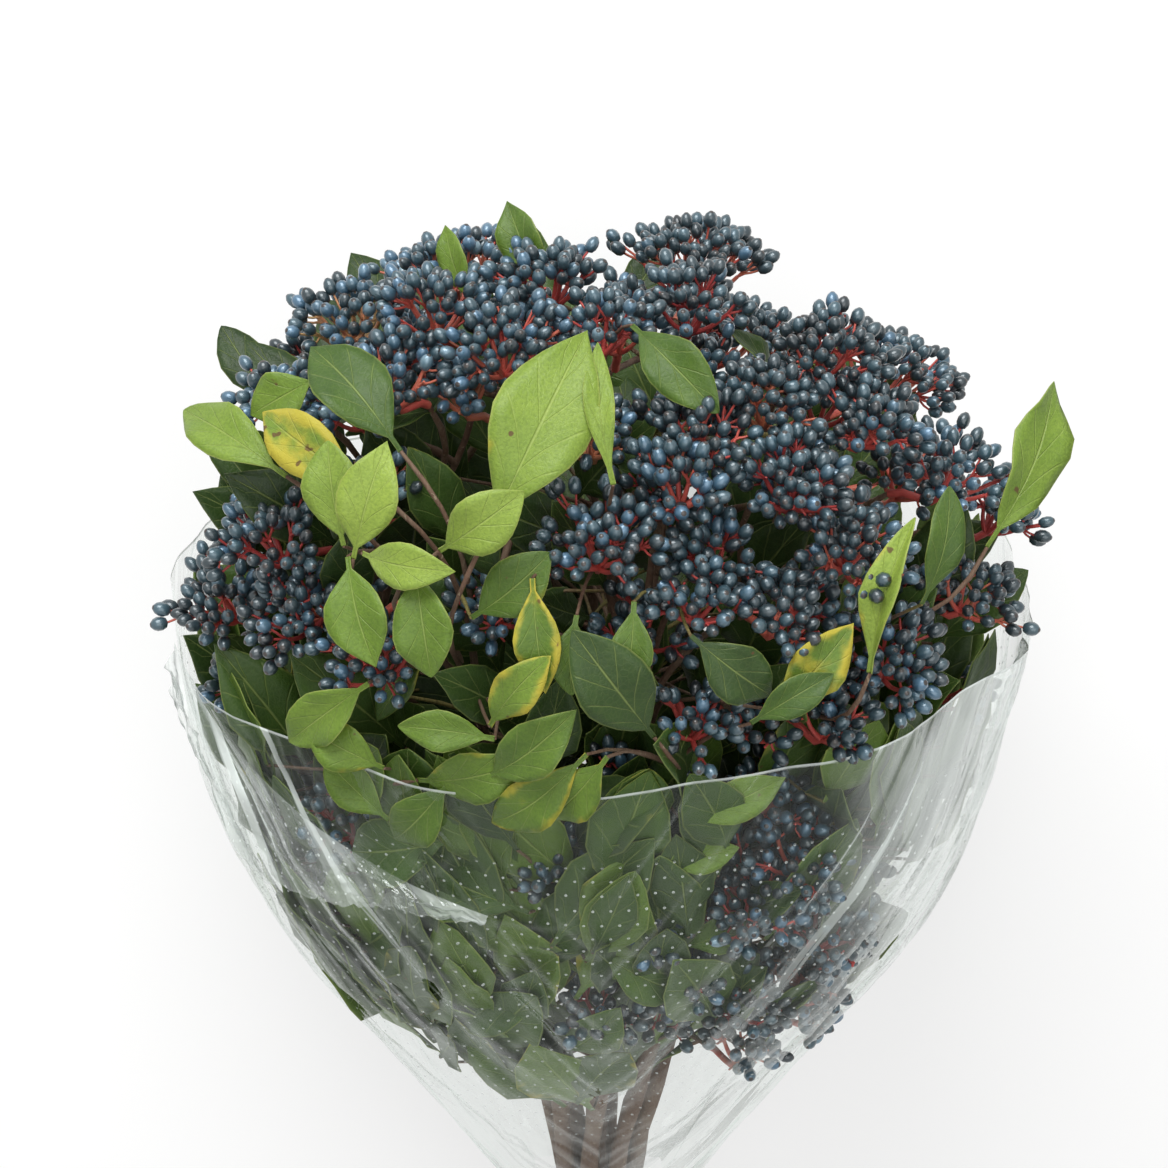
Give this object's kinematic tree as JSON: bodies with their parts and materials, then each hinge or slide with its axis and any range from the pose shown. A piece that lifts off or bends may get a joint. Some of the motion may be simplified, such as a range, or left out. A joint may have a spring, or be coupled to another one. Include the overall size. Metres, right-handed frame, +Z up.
{
  "type": "viburnum berry bunch",
  "caption": "Cut viburnum stems with blue-black berry heads and leaves, banded together in a clear film sleeve and lying on their side.",
  "frame": {"origin": "middle of the bunch's box, on the surface that it lies on", "axes": "+Y runs along the bunch from the cut ends to the berry heads, +X is to the right of someone looking that way from the cut ends, +Z is up, towards the bunch's best side"},
  "size_m": [0.396, 0.5752, 0.4021],
  "materials": {
    "film": "gloss",
    "band": "matte",
    "bark": "matte",
    "leaf": "satin",
    "berry": "satin"
  },
  "bodies": {
    "root": {"film_sleeve": "film", "rubber_band": "band", "stem_01": "bark", "stem_02": "bark", "stem_03": "bark", "stem_04": "bark", "stem_05": "bark", "stem_06": "bark", "stem_07": "bark", "stem_08": "bark", "stem_09": "bark", "leaf_01": "leaf", "leaf_02": "leaf", "leaf_03": "leaf", "leaf_04": "leaf", "leaf_05": "leaf", "leaf_06": "leaf", "leaf_07": "leaf", "leaf_08": "leaf", "leaf_09": "leaf", "leaf_10": "leaf", "leaf_11": "leaf", "umbel_01": "berry", "umbel_02": "berry", "umbel_03": "berry", "umbel_04": "berry", "umbel_05": "berry", "umbel_06": "berry", "umbel_07": "berry", "umbel_08": "berry", "umbel_09": "berry", "umbel_10": "berry", "umbel_11": "berry", "umbel_12": "berry", "umbel_13": "berry", "umbel_14": "berry", "umbel_15": "berry", "umbel_16": "berry", "umbel_17": "berry", "umbel_18": "berry", "umbel_19": "berry", "umbel_20": "berry", "umbel_21": "berry", "umbel_22": "berry", "umbel_23": "berry", "umbel_24": "berry", "umbel_25": "berry", "umbel_26": "berry", "umbel_27": "berry", "umbel_28": "berry", "umbel_29": "berry", "umbel_30": "berry", "umbel_31": "berry", "umbel_32": "berry", "umbel_33": "berry", "umbel_34": "berry", "umbel_35": "berry", "umbel_36": "berry", "umbel_37": "berry", "umbel_38": "berry"}
  },
  "joints": []
}
